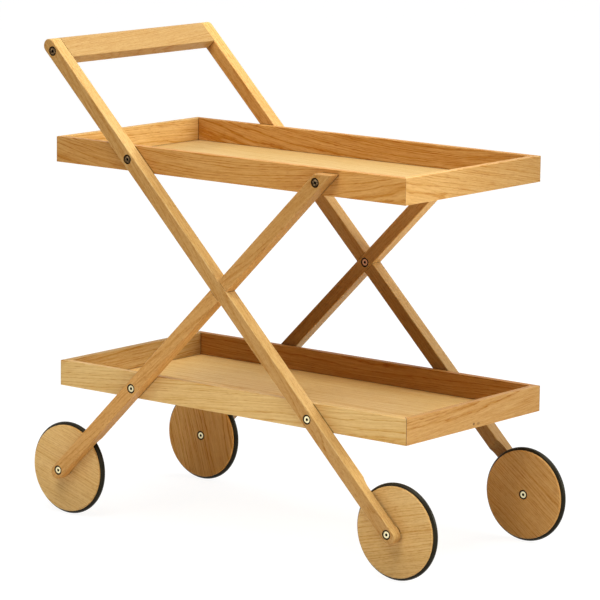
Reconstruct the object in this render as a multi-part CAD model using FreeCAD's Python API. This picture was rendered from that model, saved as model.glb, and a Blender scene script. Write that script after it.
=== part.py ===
import FreeCAD, Part
import math
import os

# Serving trolley: two shallow oak trays bolted between two crossed side frames,
# on four wooden wheels with rubber ring tyres. Millimetres.
# Origin: on the floor under the crossing of the legs, midway between the sides.
# +X points away from the handle, +Y to the left of whoever pushes, +Z up.

# Trays
tray_width = 380
tray_length = 760
tray_height = 44.5
wall_thickness = 13
base_thickness = 4
base_recess = 0.5
tongue_thickness = 2.5
rebate_depth = 6
base_clearance = 0.3
upper_tray_shift = -8
lower_tray_shift = 2
upper_bolt_rise = 23.4
lower_bolt_rise = 21.3
wood_arris = 1

# Side frames: every reach is measured along a leg from the crossing
lean_angle = 45
leg_width = 24.5
leg_thickness = 24.5
leg_arris = 1
handle_reach = 532
upper_tray_reach = 288.5
lower_tray_reach = 273.5
foot_reach = 512.5
handle_end_length = 24
foot_end_length = 18
short_leg_top = 14.5
lap_clearance = 0.1

# Handle bar between the tops of the long legs
handle_height = 49.5
handle_depth = 20
handle_arris = 1.5

# Hollowed feet, which leave room for the wheels beside a round boss
relief_depth = 6.2
relief_margin = 1.5
relief_run_out = 24
boss_radius = 12.5
boss_step = 4

# Wheels
wheel_radius = 77
wheel_thickness = 17.5
wheel_arris = 1.2
tyre_section = 10
tyre_seat_clearance = 0.15
wheel_side_gap = 0.3
axle_running_clearance = 0.05
washer_radius = 8.5
washer_thickness = 1.2

# Connector bolts with flat heads, their threaded inserts and sleeve nuts
bolt_radius = 3
head_radius = 7.5
head_thickness = 2.6
head_arris = 0.7
socket_width = 4
socket_depth = 4.5
counterbore_radius = 8.5
counterbore_depth = 3.4
bolt_hole_clearance = 0.2
thread_clearance = 0.05
insert_radius = 4.5
insert_clearance = 0.05
insert_floor = 3
insert_tip_gap = 0.5
handle_insert_length = 14
bolt_tip_gap = 1
sleeve_radius = 4
sleeve_seat_depth = 6
sleeve_seat_clearance = 0.1
sleeve_tip_wall = 3

# One overrun serves all cuts
overrun = 5

# Places worked out from the sizes
side_face = tray_width / 2
outer_face = side_face + leg_thickness
lap_face = side_face + leg_thickness / 2
tyre_radius = wheel_radius + tyre_section / 2
lean = math.radians(lean_angle)
crossing_height = tyre_radius + foot_reach * math.sin(lean)
upper_tray_floor = crossing_height + upper_tray_reach * math.sin(lean) - upper_bolt_rise
lower_tray_floor = crossing_height - lower_tray_reach * math.sin(lean) - lower_bolt_rise
bolt_seat = outer_face - counterbore_depth
insert_length = wall_thickness - insert_floor
boss_face = side_face + boss_step
wheel_outer_face = boss_face - washer_thickness - wheel_side_gap
wheel_inner_face = wheel_outer_face - wheel_thickness
wheel_counterbore_floor = wheel_inner_face + counterbore_depth
sleeve_head_seat = wheel_counterbore_floor - wheel_side_gap
sleeve_end = boss_face + sleeve_seat_depth

# A leg is drawn along +X and then turned down about +Y by its angle
long_leg_turn = lean_angle
short_leg_turn = 180 - lean_angle


def vector(x, y, z):
    return FreeCAD.Vector(x, y, z)


origin = vector(0, 0, 0)
y_axis = vector(0, 1, 0)
z_axis = vector(0, 0, 1)


def block(x_span, y_span, z_span):
    """A box between three pairs of limits."""
    size = [high - low for low, high in (x_span, y_span, z_span)]
    return Part.makeBox(*size, vector(x_span[0], y_span[0], z_span[0]))


def rod(radius, y_low, y_high, x=0, z=0):
    """A round bar along Y."""
    return Part.makeCylinder(radius, y_high - y_low, vector(x, y_low, z), y_axis)


def prism(points, direction):
    """A straight-sided solid over a closed outline of corner points."""
    outline = Part.makePolygon(points + points[:1])
    return Part.Face(outline).extrude(direction)


def moved(shape, x, y, z):
    copy = shape.copy()
    copy.translate(vector(x, y, z))
    return copy


def mirrored(shape):
    """The same piece for the right-hand side."""
    return shape.mirror(origin, y_axis)


def save(shape, name):
    shape.exportStep("parts/" + name + ".step")


def on_leg(turn, reach):
    """X and Z of a point on a leg's centre line, reach counted down from the crossing."""
    angle = math.radians(turn)
    return reach * math.cos(angle), crossing_height - reach * math.sin(angle)


def down_leg(shape, turn):
    """Lay a shape that is drawn along +X down a leg."""
    laid = shape.copy()
    laid.rotate(origin, y_axis, turn)
    laid.translate(vector(0, 0, crossing_height))
    return laid


def edges_on_planes(shape, levels, coordinate):
    """Edges that lie whole on one of the planes where the coordinate has these levels."""
    tolerance = wood_arris / 100
    chosen = []
    for edge in shape.Edges:
        low = getattr(edge.BoundBox, coordinate + "Min")
        high = getattr(edge.BoundBox, coordinate + "Max")
        for level in levels:
            if abs(low - level) < tolerance and abs(high - level) < tolerance:
                chosen.append(edge)
    return chosen


# Trays

def tray_wall(length):
    """A wall along X with its outer face on y = 0, mitred, and rebated for the base."""
    half = length / 2
    corners = [vector(-half, 0, 0), vector(half, 0, 0)]
    corners += [vector(half - wall_thickness, wall_thickness, 0)]
    corners += [vector(wall_thickness - half, wall_thickness, 0)]
    wall = prism(corners, vector(0, 0, tray_height))
    long_edges = [
        edge for edge in edges_on_planes(wall, [tray_height], "Z")
        if edge.BoundBox.YLength < wood_arris
    ]
    wall = wall.makeFillet(wood_arris, long_edges)
    rebate = block(
        (-length, length),
        (wall_thickness - rebate_depth, wall_thickness + overrun),
        (-overrun, base_recess + tongue_thickness),
    )
    return wall.cut(rebate)


def side_wall(shift, floor, reach):
    """The left long wall of a tray, bored for the inserts of its two bolts."""
    wall = tray_wall(tray_length)
    wall.rotate(origin, z_axis, 180)
    wall.translate(vector(shift, side_face, floor))
    hole_end = side_face - insert_length - insert_tip_gap
    for turn in (long_leg_turn, short_leg_turn):
        x, z = on_leg(turn, reach)
        hole = rod(insert_radius + insert_clearance, hole_end, side_face + overrun, x, z)
        wall = wall.cut(hole)
    return wall


def end_wall(shift, floor, front):
    """A short wall of a tray, at the front or at the handle end."""
    wall = tray_wall(tray_width)
    wall.rotate(origin, z_axis, 90 if front else -90)
    half = tray_length / 2
    return moved(wall, shift + half if front else shift - half, 0, floor)


def panel(shift, floor, margin, thickness):
    """A flat sheet with its edges this far inside the outer faces of the tray."""
    half_length = tray_length / 2 - margin
    half_width = tray_width / 2 - margin
    underside = floor + base_recess
    return block(
        (shift - half_length, shift + half_length),
        (-half_width, half_width),
        (underside, underside + thickness),
    )


def tray_base(shift, floor):
    """A thin panel between the walls, with a tongue round it that is glued up into their rebates."""
    tongue_margin = wall_thickness - rebate_depth + base_clearance
    tongue = panel(shift, floor, tongue_margin, tongue_thickness)
    return tongue.fuse(panel(shift, floor, wall_thickness + base_clearance, base_thickness))


def save_tray(name, shift, floor, reach):
    wall = side_wall(shift, floor, reach)
    save(wall, name + "_left_wall")
    save(mirrored(wall), name + "_right_wall")
    save(end_wall(shift, floor, True), name + "_front_wall")
    save(end_wall(shift, floor, False), name + "_rear_wall")
    save(tray_base(shift, floor), name + "_base")


# Legs, drawn along +X from the crossing, +X running down to the foot

def round_ended_face(start, end, start_is_round):
    """The side view of a leg, with a half-round foot and a half-round or square top."""
    half = leg_width / 2
    foot = end - half
    top = start + half if start_is_round else start
    outline = ((top, half), (foot, half), (foot, -half), (top, -half))
    corners = [vector(x, side_face, z) for x, z in outline]
    foot_tip = vector(end, side_face, 0)
    top_tip = vector(start, side_face, 0)
    edges = [Part.makeLine(corners[0], corners[1])]
    edges.append(Part.Arc(corners[1], foot_tip, corners[2]).toShape())
    edges.append(Part.makeLine(corners[2], corners[3]))
    if start_is_round:
        edges.append(Part.Arc(corners[3], top_tip, corners[0]).toShape())
    else:
        edges.append(Part.makeLine(corners[3], corners[0]))
    return Part.Face(Part.Wire(edges))


def softened(blank):
    """Break all the edges round a leg's two side faces."""
    return blank.makeChamfer(leg_arris, edges_on_planes(blank, [side_face, outer_face], "Y"))


def lap_notch(mouth):
    """The half that one leg gives up for the other at the crossing, flared by the arris at its mouth."""
    inward = math.copysign(1, lap_face - mouth)
    half = leg_width / 2 + lap_clearance
    flare = half + leg_arris
    outside = mouth - inward * overrun
    lip = mouth + inward * leg_arris
    outline = [(-flare, outside), (-flare, mouth), (-half, lip), (-half, lap_face)]
    outline += [(-x, y) for x, y in reversed(outline)]
    corners = [vector(x, y, -leg_width) for x, y in outline]
    return prism(corners, vector(0, 0, 2 * leg_width))


def foot_relief():
    """The hollow on the inner face of a foot, with an arched run-out, but for the boss."""
    straight_end = foot_reach - tyre_radius - relief_margin
    arch_start = straight_end - relief_run_out
    arch_radius = (relief_run_out ** 2 + relief_depth ** 2) / (2 * relief_depth)
    arch_centre_y = side_face + relief_depth - arch_radius
    half_angle = math.asin(relief_run_out / arch_radius) / 2
    deep = side_face + relief_depth
    far_end = foot_reach + foot_end_length + overrun
    middle = vector(
        straight_end - arch_radius * math.sin(half_angle),
        arch_centre_y + arch_radius * math.cos(half_angle),
        -leg_width,
    )
    arch_foot = vector(arch_start, side_face, -leg_width)
    arch_top = vector(straight_end, deep, -leg_width)
    corners = [arch_top, vector(far_end, deep, -leg_width)]
    corners += [vector(far_end, side_face - overrun, -leg_width)]
    corners += [vector(arch_start, side_face - overrun, -leg_width), arch_foot]
    edges = [Part.Arc(arch_foot, middle, arch_top).toShape()]
    edges += [Part.makeLine(a, b) for a, b in zip(corners, corners[1:])]
    hollow = Part.Face(Part.Wire(edges)).extrude(vector(0, 0, 2 * leg_width))
    boss = rod(boss_radius, boss_face, deep + overrun, foot_reach)
    return hollow.cut(boss)


def outer_bolt_hole(reach):
    """A through hole with a counterbore in the outer face."""
    hole = rod(bolt_radius + bolt_hole_clearance, side_face - overrun, outer_face + overrun, reach)
    return hole.fuse(rod(counterbore_radius, bolt_seat, outer_face + overrun, reach))


def wheel_bolt_hole():
    """The outer bolt hole and, from the boss, the seat of the sleeve that the wheel turns on."""
    seat_radius = sleeve_radius + sleeve_seat_clearance
    sleeve_seat = rod(seat_radius, boss_face - overrun, sleeve_end, foot_reach)
    return outer_bolt_hole(foot_reach).fuse(sleeve_seat)


def crossing_bolt_hole():
    """A counterbore in the inner face, a through hole, and a bore for the insert beyond the lap."""
    hole = rod(counterbore_radius, side_face - overrun, side_face + counterbore_depth)
    shank_radius = bolt_radius + bolt_hole_clearance
    hole = hole.fuse(rod(shank_radius, side_face - overrun, lap_face + overrun))
    insert_end = outer_face - insert_floor + insert_tip_gap
    return hole.fuse(rod(insert_radius + insert_clearance, lap_face, insert_end))


def long_leg():
    """The outer leg of the crossing, from the handle down to a front wheel."""
    start = -handle_reach - handle_end_length
    side_view = round_ended_face(start, foot_reach + foot_end_length, True)
    leg = softened(side_view.extrude(vector(0, leg_thickness, 0)))
    leg = leg.cut(lap_notch(side_face))
    for reach in (-handle_reach, -upper_tray_reach, lower_tray_reach):
        leg = leg.cut(outer_bolt_hole(reach))
    leg = leg.cut(foot_relief()).cut(wheel_bolt_hole()).cut(crossing_bolt_hole())
    return down_leg(leg, long_leg_turn)


def short_leg():
    """The inner leg of the crossing, cut off level above the upper tray's bolt."""
    start = -upper_tray_reach - short_leg_top - 2 * leg_width
    side_view = round_ended_face(start, foot_reach + foot_end_length, False)
    leg = down_leg(side_view.extrude(vector(0, leg_thickness, 0)), short_leg_turn)
    bolt_x, bolt_z = on_leg(short_leg_turn, -upper_tray_reach)
    waste_size = 4 * leg_width
    waste = block(
        (bolt_x - waste_size, bolt_x + waste_size),
        (side_face - overrun, outer_face + overrun),
        (bolt_z + short_leg_top, bolt_z + short_leg_top + waste_size),
    )
    leg = softened(leg.cut(waste))
    cuts = [lap_notch(outer_face), foot_relief()]
    cuts += [outer_bolt_hole(-upper_tray_reach), outer_bolt_hole(lower_tray_reach)]
    cuts += [wheel_bolt_hole(), crossing_bolt_hole()]
    for cut in cuts:
        leg = leg.cut(down_leg(cut, short_leg_turn))
    return leg


# Handle bar

def handle_bar():
    """A flat bar flush with the legs' front edges, its top rounded as the legs' tops are."""
    length = tray_width
    top = -handle_reach - handle_end_length
    front = leg_width / 2
    leg_view = round_ended_face(top, top + handle_height + leg_width, True)
    bar = moved(leg_view.extrude(vector(0, length, 0)), 0, -side_face - length / 2, 0)
    keep = block(
        (top - overrun, top + handle_height),
        (-side_face, side_face),
        (front - handle_depth, front + overrun),
    )
    bar = bar.common(keep)
    long_edges = [
        edge for edge in bar.Edges
        if edge.BoundBox.YLength > length / 2 and edge.BoundBox.XMin > top + leg_width
    ]
    bar = bar.makeFillet(handle_arris, long_edges)
    hole_end = side_face - handle_insert_length - insert_tip_gap
    hole = rod(insert_radius + insert_clearance, hole_end, side_face + overrun, -handle_reach)
    bar = bar.cut(hole).cut(mirrored(hole))
    return down_leg(bar, long_leg_turn)


# Wheels

def wheel_disc():
    """A disc with a half-round groove in its rim and a counterbore inside, for the left side."""
    disc = rod(wheel_radius, wheel_inner_face, wheel_outer_face)
    rims = edges_on_planes(disc, [wheel_inner_face, wheel_outer_face], "Y")
    disc = disc.makeChamfer(wheel_arris, rims)
    middle = (wheel_inner_face + wheel_outer_face) / 2
    groove_radius = tyre_section / 2 + tyre_seat_clearance
    groove = Part.makeTorus(wheel_radius, groove_radius, vector(0, middle, 0), y_axis)
    bore = rod(
        sleeve_radius + axle_running_clearance,
        wheel_inner_face - overrun,
        wheel_outer_face + overrun,
    )
    counterbore = rod(counterbore_radius, wheel_inner_face - overrun, wheel_counterbore_floor)
    return disc.cut(groove).cut(bore).cut(counterbore)


def tyre_ring():
    """A round rubber ring that lies half sunk in the rim."""
    middle = (wheel_inner_face + wheel_outer_face) / 2
    return Part.makeTorus(wheel_radius, tyre_section / 2, vector(0, middle, 0), y_axis)


# Fasteners, drawn on the Y axis

def hex_socket(face, depth, outward):
    """A hexagonal recess in a bolt head, cut inwards from the face."""
    corner_radius = socket_width / 2 / math.cos(math.pi / 6)
    start = face + outward * overrun
    corners = []
    for corner in range(6):
        angle = math.tau * corner / 6
        corners.append(vector(corner_radius * math.cos(angle), start, corner_radius * math.sin(angle)))
    return prism(corners, vector(0, -outward * (depth + overrun), 0))


def head(seat, outward):
    """A flat round head that stands outward from its seat, with a hexagonal socket."""
    face = seat + outward * head_thickness
    button = rod(head_radius, *sorted((seat, face)))
    button = button.makeChamfer(head_arris, edges_on_planes(button, [face], "Y"))
    return button.cut(hex_socket(face, socket_depth, outward))


def bolt(seat, tip, outward):
    """A connector bolt from its head's seat to its tip."""
    return head(seat, outward).fuse(rod(bolt_radius, *sorted((seat, tip))))


def insert(mouth, end):
    """A threaded insert, drawn as a plain sleeve."""
    span = sorted((mouth, end))
    return rod(insert_radius, *span).cut(rod(bolt_radius + thread_clearance, *span))


def sleeve_nut():
    """The sleeve that a wheel turns on, with its flat head sunk in the wheel's inner face."""
    sleeve = rod(sleeve_radius, sleeve_head_seat, sleeve_end)
    thread_start = sleeve_head_seat + sleeve_tip_wall
    thread = rod(bolt_radius + thread_clearance, thread_start, sleeve_end + overrun)
    return head(sleeve_head_seat, -1).fuse(sleeve.cut(thread))


def washer():
    """A washer between the wheel and the boss of the foot."""
    span = (boss_face - washer_thickness, boss_face)
    return rod(washer_radius, *span).cut(rod(sleeve_radius + sleeve_seat_clearance, *span))


def save_group(piece, places, name):
    """Copies of a left-hand piece at each place, and their mirror images on the right."""
    copies = [moved(piece, x, 0, z) for x, z in places]
    save(Part.makeCompound(copies + [mirrored(copy) for copy in copies]), name)


os.makedirs("parts", exist_ok=True)

save_tray("upper_tray", upper_tray_shift, upper_tray_floor, -upper_tray_reach)
save_tray("lower_tray", lower_tray_shift, lower_tray_floor, lower_tray_reach)

for leg_name, leg in (("long_leg", long_leg()), ("short_leg", short_leg())):
    save(leg, leg_name + "_left")
    save(mirrored(leg), leg_name + "_right")
save(handle_bar(), "handle_bar")

disc = wheel_disc()
tyre = tyre_ring()
axle = sleeve_nut()
for end_name, turn in (("front", long_leg_turn), ("rear", short_leg_turn)):
    x, z = on_leg(turn, foot_reach)
    for piece, name in ((disc, "wheel"), (tyre, "tyre"), (axle, "axle_sleeve")):
        placed = moved(piece, x, 0, z)
        save(placed, name + "_" + end_name + "_left")
        save(mirrored(placed), name + "_" + end_name + "_right")

both_turns = (long_leg_turn, short_leg_turn)
crossing_places = [on_leg(long_leg_turn, 0)]
handle_places = [on_leg(long_leg_turn, -handle_reach)]
upper_places = [on_leg(turn, -upper_tray_reach) for turn in both_turns]
lower_places = [on_leg(turn, lower_tray_reach) for turn in both_turns]
foot_places = [on_leg(turn, foot_reach) for turn in both_turns]

wall_insert = insert(side_face, side_face - insert_length)
tray_bolt = bolt(bolt_seat, side_face - insert_length + bolt_tip_gap, 1)
handle_insert = insert(side_face, side_face - handle_insert_length)
handle_bolt = bolt(bolt_seat, side_face - handle_insert_length + bolt_tip_gap, 1)
crossing_insert = insert(lap_face, outer_face - insert_floor)
crossing_seat = side_face + counterbore_depth
crossing_bolt = bolt(crossing_seat, outer_face - insert_floor - bolt_tip_gap, -1)
wheel_bolt = bolt(bolt_seat, sleeve_head_seat + sleeve_tip_wall + bolt_tip_gap, 1)

save_group(tray_bolt, upper_places, "upper_tray_bolts")
save_group(wall_insert, upper_places, "upper_tray_inserts")
save_group(tray_bolt, lower_places, "lower_tray_bolts")
save_group(wall_insert, lower_places, "lower_tray_inserts")
save_group(handle_bolt, handle_places, "handle_bolts")
save_group(handle_insert, handle_places, "handle_inserts")
save_group(crossing_bolt, crossing_places, "crossing_bolts")
save_group(crossing_insert, crossing_places, "crossing_inserts")
save_group(wheel_bolt, foot_places, "wheel_bolts")
save_group(washer(), foot_places, "wheel_washers")
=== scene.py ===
import math

import bpy
from mathutils import Euler, Matrix, Vector


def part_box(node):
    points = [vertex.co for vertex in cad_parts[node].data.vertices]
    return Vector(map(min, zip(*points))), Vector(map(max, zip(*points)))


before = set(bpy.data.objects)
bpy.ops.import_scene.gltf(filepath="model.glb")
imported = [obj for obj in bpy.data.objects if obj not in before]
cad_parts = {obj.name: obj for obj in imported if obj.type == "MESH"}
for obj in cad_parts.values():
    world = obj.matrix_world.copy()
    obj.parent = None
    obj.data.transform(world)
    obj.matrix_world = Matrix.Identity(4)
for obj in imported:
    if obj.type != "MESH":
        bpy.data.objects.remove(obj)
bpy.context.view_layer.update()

# Looks of the serving trolley: oiled oak with its grain along each piece, brass, and rubber tyres.
# Metres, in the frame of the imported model.

# Camera, fitted to the photograph's viewing angle
camera_place = (3.845452, -4.840116, 1.489436)
camera_yaw = 0.670885
camera_pitch = 0.176553
camera_roll = 0.012823
focal_length_px = 3631.34
principal_point_px = (298.81, 308.56)
picture_side_px = 600
sensor_width_mm = 36

# Floor, white to the camera, with a pale sheet round the trolley
floor_side = 60
floor_drop = 0.0005
near_glow = 0.9
near_glow_radius = 1.0
far_glow_radius = 3.5
shadow_depth = 0.2
sheet_radius = 1.5
sheet_fade = 1.0
sheet_shade = 0.9
studio_shade = 0.15

# Lamps: place, the point it faces, side and power in watts
trolley_middle = (0, 0, 0.4)
LAMPS = {
    "top": ((0, 0, 3.2), trolley_middle, 3, 80),
    "key": ((0.35, -1.9, 2.6), trolley_middle, 1.6, 40),
    "side": ((2.8, 0.6, 1.2), trolley_middle, 1.2, 43),
    "back": ((0.9, 2.2, 2.0), trolley_middle, 1.4, 18),
    "bounce": ((0.0, -1.1, 0.02), (0.0, -1.1, 2), 1.4, 4.6),
}

# Legs lean at this angle
lean = math.radians(45)

# Mitre seams of the trays
seam_width = 0.0009

# Heads of the bolts: where the painted shade in the socket ends, and where the painted shadow on
# the rim begins
head_socket = 0.0022, 0.0032
head_rim = 0.0051, 0.0061

# Growth rings: a year's width, how far slow and quick waves push them, and how the years vary
ring_width = 0.0038
ring_waver = 0.012
ring_ripple = 0.0022
year_waves = 150
year_spread = 1.6
early_wood_end = 0.42
late_wood_start = 0.90
late_wood_depth = 0.9

# How far a fibre strays sideways, and how far apart two boards lie in the log
fibre_stray = 0.004
log_step = 0.71, 0.37, 0.53

# Marks of the wood: waves to a metre along the grain and across it
WAVER = 3.5, 24
RIPPLE = 22, 90
STRAY = 7, 22
CLOUD = 4, 16
STREAK = 12, 300
FIBRE = 30, 1100
DASH = 55, 760
PORE = 90, 1500
FLECK = 170, 420

# How strongly each mark darkens the wood
ring_weight = 0.48
streak_weight = 0.36
cloud_weight = 0.16
fibre_weight = 0.18
dash_weight = 0.72
pore_weight = 0.35
crevice_shade_weight = 0.85

# How much more warmth takes from blue than from green
blue_warmth = 2.2

# What a face cut along the rays gains in red, green and blue: its ray figure and a painted sheen
ray_gains = 1, 1.6, 2.4

# Edges, paled by wear and a painted highlight or darkened as painted shade: how far the mark
# reaches, and how nearly normals agree where it is full and where it ends
edge_reach = 0.0018
edge_full = 0.72
edge_end = 0.99

# Painted shade and grime in crevices: its reach, and how open a place is where it is full and where
# it ends
OAK_CREVICE = 0.003, 0.35, 0.85
METAL_CREVICE = 0.005, 0.7, 0.98

# How dark the painted shade on the rim and in the socket of a bolt's head is
rim_depth = 0.96
socket_depth = 0.95

# Waves to a metre in rubber and metal
dust_waves = 60
grit_waves = 1800
tarnish_and_glint_waves = 320
scratch_waves = 2600

# Relief: strength and depth, and how far the wood's fibres rise and its dashes and pores sink
OAK_RELIEF = 0.16, 0.0003
RUBBER_RELIEF = 0.15, 0.0002
METAL_RELIEF = 0.1, 0.0001
fibre_rise = 0.5
dash_sink = 0.8
pore_sink = 0.6

# Roughness, least and most, and what a pore adds
OAK_ROUGHNESS = 0.44, 0.58
RUBBER_ROUGHNESS = 0.28, 0.42
METAL_ROUGHNESS = 0.22, 0.38
pore_roughness = 0.15

# Colours
WHITE = (1, 1, 1, 1)
OAK_PALE = (0.86, 0.545, 0.205, 1)
OAK_BROWN = (0.60, 0.272, 0.036, 1)
OAK_PORE_AND_EDGE_SHADE = (0.42, 0.115, 0.001, 1)
KNOT_BROWN = (0.12, 0.045, 0.012, 1)
SEAM_BROWN = (0.09, 0.035, 0.009, 1)
# Painted shade and grime in the oak's crevices
OAK_SHADE_AND_GRIME = (0.07, 0.026, 0.006, 1)
RUBBER_BLACK = (0.010, 0.008, 0.004, 1)
RUBBER_DUST = (0.022, 0.018, 0.010, 1)
RUBBER_GLINT = (1.0, 0.94, 0.72, 1)
# Painted shade and grime in the metal's crevices
METAL_SHADE_AND_GRIME = (0.03, 0.022, 0.014, 1)
# Painted shade on a bolt head's rim and in its socket
RIM_SHADE = (0.02, 0.012, 0.005, 1)
SOCKET_SHADE = (0.02, 0.014, 0.008, 1)

# Metals, each bright and tarnished; the dark brass is a painted dark reflection, and its second
# colour painted glints
PALE_BRASS = (0.76, 0.68, 0.42, 1), (0.52, 0.42, 0.22, 1)
BRASS_PAINTED_DARK_REFLECTION = (0.06, 0.032, 0.012, 1), (0.40, 0.27, 0.14, 1)
# The crossing bolts' brass: a darker, redder copy, painted shade for bolts in shade
BRASS_PAINTED_SHADE = (0.42, 0.17, 0.08, 1), (0.24, 0.10, 0.05, 1)


# Nodes

def set_input(tree, socket, value):
    """Link an input to a socket, or set it to a value."""
    if isinstance(value, bpy.types.NodeSocket):
        tree.links.new(value, socket)
    else:
        socket.default_value = value


def add(tree, kind, inputs=None, **settings):
    """A shader node, with each input either linked to a socket or set to a value."""
    item = tree.nodes.new("ShaderNode" + kind)
    for key, value in settings.items():
        setattr(item, key, value)
    for key, value in (inputs or {}).items():
        set_input(tree, item.inputs[key], value)
    return item


def calc(tree, operation, *values, clamp=False):
    """The result of a Math node."""
    inputs = dict(enumerate(values))
    return add(tree, "Math", inputs, operation=operation, use_clamp=clamp).outputs[0]


def remap(tree, value, low, high, new_low=0.0, new_high=1.0, smooth=True):
    """A value moved from one range to another, and held inside it."""
    kind = "SMOOTHSTEP" if smooth else "LINEAR"
    inputs = {
        "Value": value, "From Min": low, "From Max": high, "To Min": new_low, "To Max": new_high,
    }
    return add(tree, "MapRange", inputs, interpolation_type=kind).outputs[0]


def blend_colours(tree, factor, first, second, kind="MIX"):
    """Two colours mixed; the Mix node's sockets are counted, since their names repeat."""
    inputs = {0: factor, 6: first, 7: second}
    return add(tree, "Mix", inputs, data_type="RGBA", blend_type=kind).outputs[2]


def noise(tree, vector, scale, detail=2.0, roughness=0.5):
    """Noise from nought to one, with this many waves to a metre."""
    inputs = {"Vector": vector, "Scale": scale, "Detail": detail, "Roughness": roughness}
    return add(tree, "TexNoise", inputs).outputs["Fac"]


def grain_noise(tree, vector, waves, detail=2.0, roughness=0.5):
    """Noise with its own number of waves to a metre along the grain and across it."""
    along, across = waves
    inputs = {"Vector": vector, "Scale": (along, across, across)}
    return noise(tree, add(tree, "Mapping", inputs).outputs[0], 1.0, detail, roughness)


def relief(tree, height, strength, depth):
    """A normal bent by this height."""
    return add(tree, "Bump", {"Height": height, "Strength": strength, "Distance": depth}).outputs[0]


def own_place(tree):
    """Places on the object, which are the frame's own where nothing is posed."""
    return add(tree, "TexCoord").outputs["Object"]


def distance_in_plane(tree, first, second):
    """The distance that two offsets at right angles make."""
    squares = [calc(tree, "MULTIPLY", offset, offset) for offset in (first, second)]
    return calc(tree, "SQRT", calc(tree, "ADD", *squares))


def new_material(name):
    material = bpy.data.materials.new(name)
    material.use_nodes = True
    tree = material.node_tree
    tree.nodes.clear()
    return material, tree


def finish_material(tree, shader):
    output = tree.nodes.new("ShaderNodeOutputMaterial")
    tree.links.new(shader.outputs[0], output.inputs["Surface"])


# Grain

def grain_space(tree, node, turn):
    """Places in metres from the middle of a board, X along its grain."""
    low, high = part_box(node)
    inverse = Euler(turn).to_matrix().transposed()
    inputs = {
        "Vector": own_place(tree),
        "Rotation": inverse.to_euler(),
        "Location": -(inverse @ ((low + high) / 2)),
    }
    return add(tree, "Mapping", inputs).outputs[0]


def laid(tree, place, lie):
    """Places sheared so that the grain rises across the board, through it, and bows along it."""
    slope_across, slope_through, bow = lie
    along, across, through = add(tree, "SeparateXYZ", {"Vector": place}).outputs
    slope = calc(tree, "MULTIPLY_ADD", along, bow, slope_through)
    rise = calc(tree, "MULTIPLY", along, slope)
    across = calc(tree, "SUBTRACT", across, calc(tree, "MULTIPLY", along, slope_across))
    through = calc(tree, "SUBTRACT", through, rise)
    return add(tree, "CombineXYZ", {"X": along, "Y": across, "Z": through}).outputs[0]


def moved_on(tree, vector, seed):
    """The same places in another part of the log."""
    inputs = {"Vector": vector, "Location": [step * seed for step in log_step]}
    return add(tree, "Mapping", inputs).outputs[0]


def strayed(tree, vector):
    """Places pushed sideways a little, so that no fibre runs dead straight."""
    push = calc(tree, "SUBTRACT", grain_noise(tree, vector, STRAY), 0.5)
    push = calc(tree, "MULTIPLY", push, fibre_stray)
    offset = add(tree, "CombineXYZ", {"Y": push, "Z": push}).outputs[0]
    return add(tree, "VectorMath", {0: vector, 1: offset}, operation="ADD").outputs[0]


def ring_bands(tree, place, seeded, pith):
    """Dark early wood that fades into pale late wood, year by year, round the pith."""
    across, through = add(tree, "SeparateXYZ", {"Vector": place}).outputs[1:]
    off_y = calc(tree, "SUBTRACT", across, pith[0])
    off_z = calc(tree, "SUBTRACT", through, pith[1])
    distance = distance_in_plane(tree, off_y, off_z)
    for waves, reach in ((WAVER, ring_waver), (RIPPLE, ring_ripple)):
        push = calc(tree, "MULTIPLY", grain_noise(tree, seeded, waves), reach)
        distance = calc(tree, "ADD", distance, push)
    inputs = {"W": calc(tree, "MULTIPLY", distance, year_waves), "Scale": 1.0}
    uneven = add(tree, "TexNoise", inputs, noise_dimensions="1D").outputs["Fac"]
    years = calc(tree, "DIVIDE", distance, ring_width)
    years = calc(tree, "ADD", years, calc(tree, "MULTIPLY", uneven, year_spread))
    season = calc(tree, "FRACT", years)
    early = remap(tree, season, 0.0, early_wood_end, 1.0, 0.0)
    late = remap(tree, season, late_wood_start, 1.0, 0.0, late_wood_depth)
    return calc(tree, "ADD", early, late)


# Edges with wear and painted light, and crevices with painted shade and grime

def edge_mask(tree):
    """High along edges and low on faces."""
    rounded = add(tree, "Bevel", {"Radius": edge_reach}, samples=4).outputs[0]
    normal = add(tree, "NewGeometry").outputs["Normal"]
    inputs = {0: rounded, 1: normal}
    agreement = add(tree, "VectorMath", inputs, operation="DOT_PRODUCT").outputs["Value"]
    return remap(tree, agreement, edge_full, edge_end, 1.0, 0.0)


def crevice(tree, reach, closed, open_share):
    """High in narrow gaps and inner corners, where shade falls, and low on open faces."""
    open_sky = add(tree, "AmbientOcclusion", {"Distance": reach}, samples=8).outputs["AO"]
    return remap(tree, open_sky, closed, open_share, 1.0, 0.0)


def mark(tree, place, middle, half_size):
    """High in a small soft oval, such as a pin knot, on a board."""
    offset = add(tree, "VectorMath", {0: place, 1: middle}, operation="SUBTRACT").outputs[0]
    offset = add(tree, "VectorMath", {0: offset, 1: half_size}, operation="DIVIDE").outputs[0]
    distance = add(tree, "VectorMath", {0: offset}, operation="LENGTH").outputs["Value"]
    return remap(tree, distance, 0.4, 1.0, 1.0, 0.0)


def mitre_seam(tree, node, turn, place, side):
    """High in the thin seams at a tray wall's ends; the wall's outer face is at this side."""
    low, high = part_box(node)
    half = Euler(turn).to_matrix().transposed() @ (high - low) / 2
    along, across = add(tree, "SeparateXYZ", {"Vector": place}).outputs[:2]
    depth = calc(tree, "MULTIPLY_ADD", across, -side, abs(half.y))
    from_end = calc(tree, "SUBTRACT", abs(half.x), calc(tree, "ABSOLUTE", along))
    from_seam = calc(tree, "ABSOLUTE", calc(tree, "SUBTRACT", from_end, depth))
    return remap(tree, from_seam, seam_width / 2, seam_width, 1.0, 0.0)


# Oak

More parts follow.
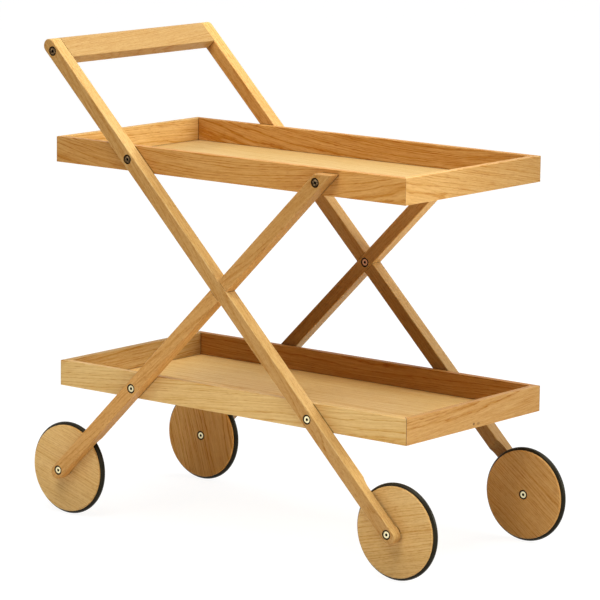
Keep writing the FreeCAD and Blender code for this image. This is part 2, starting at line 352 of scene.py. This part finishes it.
def ray_figure_and_sheen(tree, turn, quartered_and_sheen):
    """A tint for faces cut along the rays, paler and whiter than those cut along the rings: the ray
    figure with a painted sheen.
    """
    normal = add(tree, "TexCoord").outputs["Normal"]
    face = Euler(turn).to_matrix() @ Vector((0, 0, 1))
    facing = add(tree, "VectorMath", {0: normal, 1: face}, operation="DOT_PRODUCT").outputs["Value"]
    rays = remap(tree, calc(tree, "ABSOLUTE", facing), 0.3, 0.8)
    pale = [1 + gain * quartered_and_sheen for gain in ray_gains]
    return blend_colours(tree, rays, WHITE, (*pale, 1))


def end_shade(tree, node, turn, place, light_and_tone_fade):
    """A tint that turns paler along a board's grain, or darker if the fade is below nought: partly
    the board's own tone, partly painted light and shade.
    """
    low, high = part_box(node)
    grain = Euler(turn).to_matrix().col[0]
    half = sum(abs(step) * side for step, side in zip(grain, high - low)) / 2
    along = add(tree, "SeparateXYZ", {"Vector": place}).outputs[0]
    lift = remap(tree, along, -half, half, 1 - light_and_tone_fade, 1 + light_and_tone_fade, smooth=False)
    return add(tree, "CombineColor", {"Red": lift, "Green": lift, "Blue": lift}).outputs[0]


def oak(node, turn, seed, tone_and_light, warmth, pith, light_and_tone_fade=0.0, lie=(0, 0, 0), bands=1.0, dashes=1.0,
        flecks=0.0, quartered_and_sheen=0.0, edge=0.12, seam=(0, 0), knots=()):
    """Oiled oak for one board, its grain laid along the turned X axis."""
    material, tree = new_material("oak_" + node)
    place = grain_space(tree, node, turn)
    grain = laid(tree, place, lie)
    seeded = moved_on(tree, grain, seed)
    wavy = strayed(tree, seeded)
    rings = calc(tree, "MULTIPLY", ring_bands(tree, grain, seeded, pith), bands)

    # Fibres, streaks and open pores, all drawn out along the grain
    cloud = remap(tree, grain_noise(tree, seeded, CLOUD), 0.3, 0.7)
    streak = remap(tree, grain_noise(tree, wavy, STREAK, 3.0, 0.6), 0.34, 0.66)
    fibre = grain_noise(tree, wavy, FIBRE, 3.0, 0.6)
    dash = remap(tree, grain_noise(tree, wavy, DASH, 2.0, 0.6), 0.50, 0.62)
    dash = calc(tree, "MULTIPLY", dash, remap(tree, rings, 0.0, 0.9, 0.25, 1.0))
    pore = remap(tree, grain_noise(tree, wavy, PORE), 0.56, 0.70)

    dark = calc(tree, "MULTIPLY", rings, ring_weight)
    dark = calc(tree, "ADD", dark, calc(tree, "MULTIPLY", streak, streak_weight * bands))
    dark = calc(tree, "ADD", dark, calc(tree, "MULTIPLY", cloud, cloud_weight * bands))
    fine = calc(tree, "MULTIPLY", remap(tree, fibre, 0.3, 0.7), fibre_weight)
    dark = calc(tree, "ADD", dark, fine, clamp=True)
    colour = blend_colours(tree, dark, OAK_PALE, OAK_BROWN)
    dash_share = calc(tree, "MULTIPLY", dash, dash_weight * dashes, clamp=True)
    colour = blend_colours(tree, dash_share, colour, OAK_PORE_AND_EDGE_SHADE)
    pore_share = calc(tree, "MULTIPLY", pore, pore_weight * dashes)
    colour = blend_colours(tree, pore_share, colour, OAK_PORE_AND_EDGE_SHADE)
    if flecks:
        fleck = grain_noise(tree, seeded, FLECK, 3.0, 0.65)
        paler = calc(tree, "MULTIPLY", remap(tree, fleck, 0.48, 0.66), flecks)
        colour = blend_colours(tree, paler, colour, OAK_PALE)
        darker = calc(tree, "MULTIPLY", remap(tree, fleck, 0.50, 0.34), flecks)
        colour = blend_colours(tree, darker, colour, OAK_PORE_AND_EDGE_SHADE)
    for middle, half_size, depth in knots:
        knot = calc(tree, "MULTIPLY", mark(tree, place, middle, half_size), depth)
        colour = blend_colours(tree, knot, colour, KNOT_BROWN)

    # The board's tone with its painted light and shade, then edges with wear and painted light,
    # seams, and painted shade and grime in crevices
    # Faces cut along the rays are paler and whiter: ray figure with a painted sheen
    if quartered_and_sheen:
        colour = blend_colours(tree, 1.0, colour, ray_figure_and_sheen(tree, turn, quartered_and_sheen), "MULTIPLY")
    # Tone and warmth hold painted light and shade: darker, warmer boards where shade falls, paler
    # where light falls
    tint = (tone_and_light, tone_and_light * (1 - warmth), tone_and_light * (1 - blue_warmth * warmth), 1)
    colour = blend_colours(tree, 1.0, colour, tint, "MULTIPLY")
    # Painted light and shade, with some of the board's own tone: paler at one end, darker at the
    # other
    if light_and_tone_fade:
        shade = end_shade(tree, node, turn, place, light_and_tone_fade)
        colour = blend_colours(tree, 1.0, colour, shade, "MULTIPLY")
    # Edges: paler with wear and a painted highlight, and darker as painted shade where edge is
    # below nought
    edge_wear_and_light = calc(tree, "MULTIPLY", edge_mask(tree), abs(edge))
    colour = blend_colours(tree, edge_wear_and_light, colour, OAK_PALE if edge > 0 else OAK_PORE_AND_EDGE_SHADE)
    seam_side, seam_depth = seam
    if seam_side:
        gap = calc(tree, "MULTIPLY", mitre_seam(tree, node, turn, place, seam_side), seam_depth)
        colour = blend_colours(tree, gap, colour, SEAM_BROWN)
    # Painted shade and grime darken narrow gaps and inner corners
    crevice_shade = calc(tree, "MULTIPLY", crevice(tree, *OAK_CREVICE), crevice_shade_weight)
    colour = blend_colours(tree, crevice_shade, colour, OAK_SHADE_AND_GRIME)

    height = calc(tree, "MULTIPLY", fibre, fibre_rise)
    height = calc(tree, "SUBTRACT", height, calc(tree, "MULTIPLY", dash, dash_sink))
    height = calc(tree, "SUBTRACT", height, calc(tree, "MULTIPLY", pore, pore_sink))
    rough = remap(tree, dark, 0.0, 1.0, *OAK_ROUGHNESS)
    rough = calc(tree, "ADD", rough, calc(tree, "MULTIPLY", pore, pore_roughness))
    shader = add(tree, "BsdfPrincipled", {
        "Base Color": colour, "Roughness": rough, "Normal": relief(tree, height, *OAK_RELIEF),
        "Specular IOR Level": 0.18, "IOR": 1.45,
    })
    finish_material(tree, shader)
    return material


def give(node, material):
    """Give a CAD node this material alone."""
    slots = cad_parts[node].data.materials
    slots.clear()
    slots.append(material)


# Boards

# Turns from the grain's own axes to the frame's
ALONG_X = (0, 0, 0)
ALONG_Y = (0, 0, math.pi / 2)
DOWN_LONG_LEG = (0, lean, 0)
DOWN_SHORT_LEG = (0, math.pi - lean, 0)

# Two pin knots side by side: middle, half size and depth of tone
PIN_KNOTS = (
    ((-0.002, -0.0065, -0.015), (0.004, 0.01, 0.003), 0.75),
    ((0.011, -0.0065, -0.016), (0.006, 0.01, 0.003), 0.45),
)

# What the legs share, and what the wheels share
LEG = dict(bands=0.7, dashes=0.7, flecks=0.25)
# The wheels' edges are darkened, a painted shade that dulls their lit chamfers
WHEEL = dict(edge=-0.6)

# Each board: the turn of its grain, then how its wood differs from plain flat-sawn oak.
# Tone and warmth tint it, and fade is how much paler one end is; all three hold painted light and
# shade as well as the wood's own colour.
# Pith is the middle of its growth rings, across the board and through it.
# Lie is the grain's slope across the board, its slope through it, and its bow.
# Bands, dashes and flecks say how strongly the rings, the long pores and the rays show.
# Quartered makes faces cut along the rays paler, with a painted sheen. Edge is how strongly edges
# are paled by wear and a painted highlight, or darkened as painted shade below nought.
# Seam is the side of a wall's outer face, and how dark its mitre seams are.
BOARDS = {
    "upper_tray_right_wall": (ALONG_X, dict(
        tone_and_light=0.81, warmth=0.14, light_and_tone_fade=0.1, seam=(-1, 0.3), lie=(0, 0.02, 0.28),
        pith=(0.06, -0.055))),
    "upper_tray_left_wall": (ALONG_X, dict(
        tone_and_light=0.77, warmth=0.11, light_and_tone_fade=-0.06, seam=(1, 0.3), lie=(0, -0.07, 0.2), pith=(0.06, -0.05),
        bands=1.4)),
    "upper_tray_front_wall": (ALONG_Y, dict(
        tone_and_light=0.88, warmth=0.04, light_and_tone_fade=-0.22, seam=(-1, 0.3), lie=(0, -0.19, 0), pith=(0.06, -0.05),
        bands=0.85, dashes=0.8)),
    "upper_tray_rear_wall": (ALONG_Y, dict(
        tone_and_light=1.08, warmth=-0.08, light_and_tone_fade=-0.06, seam=(1, 0.3), lie=(0, -0.03, 0),
        pith=(0.06, -0.045))),
    "lower_tray_right_wall": (ALONG_X, dict(
        tone_and_light=0.95, warmth=-0.10, seam=(-1, 0.8), lie=(0, 0.09, 0), pith=(0.06, -0.05),
        bands=0.75, dashes=0.65)),
    "lower_tray_left_wall": (ALONG_X, dict(
        tone_and_light=0.63, warmth=0.21, seam=(1, 0.5), lie=(0, 0, 0.05), pith=(0.06, 0.04), bands=1.2)),
    "lower_tray_front_wall": (ALONG_Y, dict(
        tone_and_light=0.73, warmth=0.08, light_and_tone_fade=-0.08, seam=(-1, 0.8), lie=(0, 0.06, 0), pith=(0.08, -0.012),
        knots=PIN_KNOTS)),
    "lower_tray_rear_wall": (ALONG_Y, dict(
        tone_and_light=0.68, warmth=-0.08, seam=(1, 0.5), lie=(0, 0.03, 0), pith=(0.06, 0.05))),
    "upper_tray_base": (ALONG_X, dict(
        tone_and_light=0.82, warmth=-0.12, light_and_tone_fade=0.06, lie=(-0.1, 0, 0), pith=(0.03, 0.16),
        bands=0.5, dashes=0.5)),
    "lower_tray_base": (ALONG_X, dict(
        tone_and_light=1.17, warmth=-0.15, lie=(0.03, 0, 0), pith=(-0.04, 0.18), bands=0.6, dashes=0.6)),
    "long_leg_right": (DOWN_LONG_LEG, dict(
        LEG, tone_and_light=0.67, warmth=0.08, lie=(-0.04, -0.05, 0), pith=(0.09, 0.03), quartered_and_sheen=0.4)),
    "long_leg_left": (DOWN_LONG_LEG, dict(
        LEG, tone_and_light=0.59, warmth=0.12, light_and_tone_fade=-0.45, lie=(0.03, 0.03, 0), pith=(-0.09, 0.03),
        quartered_and_sheen=0.3)),
    "short_leg_right": (DOWN_SHORT_LEG, dict(
        LEG, tone_and_light=0.76, warmth=0.12, light_and_tone_fade=0.12, lie=(0.02, -0.06, 0), pith=(0.08, -0.04))),
    "short_leg_left": (DOWN_SHORT_LEG, dict(
        LEG, tone_and_light=0.55, warmth=0.15, light_and_tone_fade=-0.5, lie=(-0.02, 0.04, 0), pith=(-0.08, -0.04),
        quartered_and_sheen=0.4)),
    "handle_bar": (ALONG_Y, dict(
        tone_and_light=0.68, warmth=-0.01, lie=(0.06, 0.06, 0), pith=(0.05, 0.06),
        bands=0.6, dashes=0.6, flecks=0.15)),
    "wheel_front_right": ((0, -0.26, 0), dict(
        WHEEL, tone_and_light=0.91, warmth=-0.05, pith=(0.06, 0.10), bands=0.65, dashes=0.75, flecks=0.15)),
    "wheel_rear_right": ((0, 0.30, 0), dict(
        WHEEL, tone_and_light=1.04, warmth=-0.07, pith=(0.06, -0.10), bands=0.6, dashes=0.65, flecks=0.15)),
    "wheel_rear_left": ((0, 1.3, 0), dict(
        WHEEL, tone_and_light=0.96, warmth=0.06, pith=(0.05, 0.04))),
    "wheel_front_left": ((0, 0.63, 0), dict(
        WHEEL, tone_and_light=0.74, warmth=0.08, pith=(0.08, 0.12), bands=0.75, dashes=0.8, flecks=0.15)),
}
for seed, (node, (turn, wood)) in enumerate(BOARDS.items()):
    give(node, oak(node, turn, seed, **wood))


# Rubber and metal

def rubber():
    """Smooth black rubber with a little dust."""
    material, tree = new_material("rubber")
    place = own_place(tree)
    dust = noise(tree, place, dust_waves, 4.0, 0.6)
    grit = noise(tree, place, grit_waves)
    shader = add(tree, "BsdfPrincipled", {
        "Base Color": blend_colours(tree, remap(tree, dust, 0.35, 0.75), RUBBER_BLACK, RUBBER_DUST),
        "Roughness": remap(tree, dust, 0.3, 0.7, *RUBBER_ROUGHNESS),
        "Normal": relief(tree, grit, *RUBBER_RELIEF),
        "Specular IOR Level": 0.16, "Specular Tint": RUBBER_GLINT,
    })
    finish_material(tree, shader)
    return material


def from_bolt(tree, node):
    """Distance from the nearest bolt's axis, in a node whose bolts stand in one row along X."""
    low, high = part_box(node)
    middle, half = (low + high) / 2, (high - low) / 2
    along, _, height = add(tree, "SeparateXYZ", {"Vector": own_place(tree)}).outputs
    off_x = calc(tree, "ABSOLUTE", calc(tree, "SUBTRACT", along, middle.x))
    off_x = calc(tree, "SUBTRACT", off_x, half.x - half.z)
    off_z = calc(tree, "SUBTRACT", height, middle.z)
    return distance_in_plane(tree, off_x, off_z)


def metal(node, bright, dull):
    """Plated metal, a little tarnished, and on the dark brass painted glints; painted shade and
    grime darken its crevices, and painted shade a bolt's socket and its head's rim.
    """
    material, tree = new_material("metal_" + node)
    place = own_place(tree)
    # Spots of tarnish, and on the dark brass painted glints
    tarnish_and_glint = remap(tree, noise(tree, place, tarnish_and_glint_waves, 4.0, 0.6), 0.40, 0.75)
    scratch = noise(tree, place, scratch_waves)
    colour = blend_colours(tree, tarnish_and_glint, bright, dull)
    # Painted shade and grime darken the metal in crevices
    colour = blend_colours(tree, crevice(tree, *METAL_CREVICE), colour, METAL_SHADE_AND_GRIME)
    if node.endswith("bolts") or "sleeve" in node:
        distance = from_bolt(tree, node)
        # Painted shade: the counterbore's shadow as a dark rim on the head, and a dark socket
        rim_shade = remap(tree, distance, *head_rim, 0.0, rim_depth)
        socket_shade = remap(tree, distance, *head_socket, socket_depth, 0.0)
        colour = blend_colours(tree, rim_shade, colour, RIM_SHADE)
        colour = blend_colours(tree, socket_shade, colour, SOCKET_SHADE)
    shader = add(tree, "BsdfPrincipled", {
        "Base Color": colour, "Metallic": 1.0,
        "Roughness": remap(tree, tarnish_and_glint, 0.0, 1.0, *METAL_ROUGHNESS),
        "Normal": relief(tree, scratch, *METAL_RELIEF),
    })
    finish_material(tree, shader)
    return material


# The bolts whose metal isn't pale: a painted dark reflection on the handle and upper tray bolts,
# and painted shade on the crossing bolts
BOLT_METALS = {
    "handle_bolts": BRASS_PAINTED_DARK_REFLECTION, "upper_tray_bolts": BRASS_PAINTED_DARK_REFLECTION, "crossing_bolts": BRASS_PAINTED_SHADE,
}
RUBBER = rubber()
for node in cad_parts:
    if node.startswith("tyre"):
        give(node, RUBBER)
    elif node not in BOARDS:
        give(node, metal(node, *BOLT_METALS.get(node, PALE_BRASS)))


# Floor, light and camera

def seen_in_metal_or_glass(tree, path):
    """1 for rays that metal or glass has turned, and 0 for the rest."""
    return calc(tree, "MAXIMUM", path.outputs["Is Glossy Ray"], path.outputs["Is Transmission Ray"])


def white_glow(tree, strength=1.0):
    """A white light of its own, the same from every side."""
    return add(tree, "Emission", {"Color": WHITE, "Strength": strength}).outputs[0]


def make_world():
    """White to the camera and in reflections, and dark as a source of light."""
    world = bpy.data.worlds.new("studio")
    world.use_nodes = True
    tree = world.node_tree
    tree.nodes.clear()
    path = add(tree, "LightPath")
    seen = calc(tree, "MAXIMUM", path.outputs["Is Camera Ray"], seen_in_metal_or_glass(tree, path))
    white = add(tree, "Background", {"Color": WHITE, "Strength": seen})
    output = tree.nodes.new("ShaderNodeOutputWorld")
    tree.links.new(white.outputs[0], output.inputs["Surface"])
    bpy.context.scene.world = world


def make_floor():
    """White with a faint shadow to the camera, and a pale sheet that bounces light up."""
    half = floor_side / 2
    corners = [(-half, -half), (half, -half), (half, half), (-half, half)]
    mesh = bpy.data.meshes.new("floor")
    mesh.from_pydata([(x, y, -floor_drop) for x, y in corners], [], [(0, 1, 2, 3)])
    floor = bpy.data.objects.new("floor", mesh)
    bpy.context.scene.collection.objects.link(floor)
    material, tree = new_material("floor")
    path = add(tree, "LightPath")
    radius = add(tree, "VectorMath", {0: own_place(tree)}, operation="LENGTH").outputs["Value"]
    pale = remap(tree, radius, sheet_radius, sheet_radius + sheet_fade, sheet_shade, studio_shade)
    glow = remap(tree, radius, near_glow_radius, far_glow_radius, near_glow, 1.0)
    bounce = add(tree, "BsdfDiffuse", {"Color": pale}).outputs[0]
    shadow_grey = (shadow_depth, shadow_depth, shadow_depth, 1)
    shadow_taker = add(tree, "BsdfDiffuse", {"Color": shadow_grey}).outputs[0]
    to_camera = add(tree, "AddShader", {0: white_glow(tree, glow), 1: shadow_taker}).outputs[0]
    seen = path.outputs["Is Camera Ray"]
    mix = add(tree, "MixShader", {0: seen, 1: bounce, 2: to_camera}).outputs[0]
    reflected = seen_in_metal_or_glass(tree, path)
    mix = add(tree, "MixShader", {0: reflected, 1: mix, 2: white_glow(tree)})
    finish_material(tree, mix)
    mesh.materials.append(material)


def make_lamp(name, place, target, side, power):
    """A square soft lamp that faces a point."""
    data = bpy.data.lights.new(name, "AREA")
    data.size = side
    data.energy = power
    lamp = bpy.data.objects.new(name, data)
    bpy.context.scene.collection.objects.link(lamp)
    lamp.location = place
    lamp.rotation_euler = (Vector(target) - Vector(place)).to_track_quat("-Z", "Y").to_euler()


def make_camera():
    """The camera at its fitted place, with its turn and the shift of its lens."""
    back = Vector((
        math.sin(camera_yaw) * math.cos(camera_pitch),
        -math.cos(camera_yaw) * math.cos(camera_pitch),
        math.sin(camera_pitch),
    ))
    right = Vector((math.cos(camera_yaw), math.sin(camera_yaw), 0))
    up = back.cross(right)
    level_right = right * math.cos(camera_roll) + up * math.sin(camera_roll)
    level_up = back.cross(level_right)
    data = bpy.data.cameras.new("camera")
    data.sensor_width = sensor_width_mm
    data.lens = focal_length_px / picture_side_px * sensor_width_mm
    half_side = picture_side_px / 2
    data.shift_x = (half_side - principal_point_px[0]) / picture_side_px
    data.shift_y = (principal_point_px[1] - half_side) / picture_side_px
    data.clip_end = 2 * floor_side
    camera = bpy.data.objects.new("camera", data)
    bpy.context.scene.collection.objects.link(camera)
    turn = Matrix((level_right, level_up, back)).transposed().to_4x4()
    camera.matrix_world = Matrix.Translation(camera_place) @ turn
    bpy.context.scene.camera = camera


make_world()
make_floor()
for name, lamp in LAMPS.items():
    make_lamp(name, *lamp)
make_camera()
bpy.context.scene.view_settings.view_transform = "Standard"
